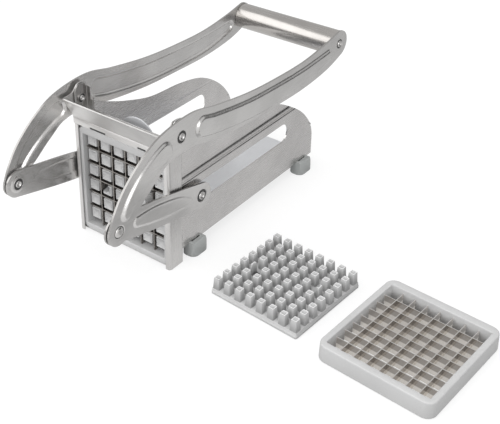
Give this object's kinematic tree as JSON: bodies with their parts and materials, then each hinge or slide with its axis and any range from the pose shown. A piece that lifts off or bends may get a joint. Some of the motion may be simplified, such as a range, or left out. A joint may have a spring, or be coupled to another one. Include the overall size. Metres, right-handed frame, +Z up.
{
  "type": "french fry cutter",
  "caption": "Steel hand-lever potato cutter with a drop-in blade grid, a linked pusher and levers joined by a tube handle, plus a loose finer grid and its pusher on the floor.",
  "frame": {"origin": "on the floor, midway below the two lever pivots, on the underside of the strap that carries the blade frame", "axes": "+X across to the right as seen from the blades, +Y from the blades towards the handle, +Z up"},
  "size_m": [0.2995, 0.2751, 0.1162],
  "materials": {
    "brushed_steel": "brushed along the sheet",
    "bright_steel": "satin",
    "rivet_steel": "polished",
    "blade_steel": "ground",
    "grey_plastic": "fine satin moulding",
    "foot_plastic": "satin",
    "white_plastic": "plain",
    "dark_plastic": "plain"
  },
  "bodies": {
    "body": {"front_frame": "brushed_steel", "top_rail": "brushed_steel", "left_wall": "brushed_steel", "right_wall": "brushed_steel", "base_tray": "bright_steel", "front_left_foot": "foot_plastic", "front_right_foot": "foot_plastic", "rear_left_foot": "foot_plastic", "rear_right_foot": "foot_plastic", "blade_frame": "grey_plastic", "upright_blades": "blade_steel", "level_blades": "blade_steel", "pivot_rivets": "rivet_steel", "pivot_washers": "rivet_steel"},
    "levers": {"left_lever": "brushed_steel", "right_lever": "brushed_steel", "handle_tube": "bright_steel", "handle_rod": "rivet_steel", "handle_plugs": "dark_plastic", "crank_rivets": "rivet_steel", "crank_washers": "rivet_steel"},
    "carriage": {"pusher_carriage": "bright_steel", "pusher_block": "grey_plastic", "pusher_screws": "rivet_steel", "slide_pins": "rivet_steel", "slide_bushes": "white_plastic"},
    "left_link": {"left_link": "brushed_steel", "left_link_rivet": "rivet_steel"},
    "right_link": {"right_link": "brushed_steel", "right_link_rivet": "rivet_steel"},
    "spare_pusher": {"spare_pusher": "grey_plastic"},
    "spare_frame": {"spare_blade_frame": "grey_plastic", "spare_long_blades": "blade_steel", "spare_cross_blades": "blade_steel"}
  },
  "joints": [
    {"name": "lever_swing", "type": "hinge", "parent": "body", "child": "levers", "pos_m": [0, 0, 0.1035], "axis": [1, 0, 0], "range_deg": [0, 90]},
    {"name": "pusher_slide", "type": "slide", "parent": "body", "child": "carriage", "axis": [0, 1, 0], "range_m": [0, 0.10289]},
    {"name": "left_link_swing", "type": "hinge", "parent": "carriage", "child": "left_link", "pos_m": [-0.0435, 0.02422, 0.0455], "axis": [1, 0, 0], "range_deg": [0, 14.58]},
    {"name": "right_link_swing", "type": "hinge", "parent": "carriage", "child": "right_link", "pos_m": [0.0435, 0.02422, 0.0455], "axis": [1, 0, 0], "range_deg": [0, 14.58]},
    {"name": "spare_pusher_lift", "type": "slide", "parent": "body", "child": "spare_pusher", "axis": [0, 0, 1], "range_m": [0, 0.06]},
    {"name": "spare_frame_lift", "type": "slide", "parent": "body", "child": "spare_frame", "axis": [0, 0, 1], "range_m": [0, 0.06]}
  ],
  "couplings": [
    {"joint": "pusher_slide", "follows": "lever_swing", "m_per_rad": 0.065502},
    {"joint": "left_link_swing", "follows": "lever_swing", "ratio": 0.162},
    {"joint": "right_link_swing", "follows": "lever_swing", "ratio": 0.162}
  ]
}
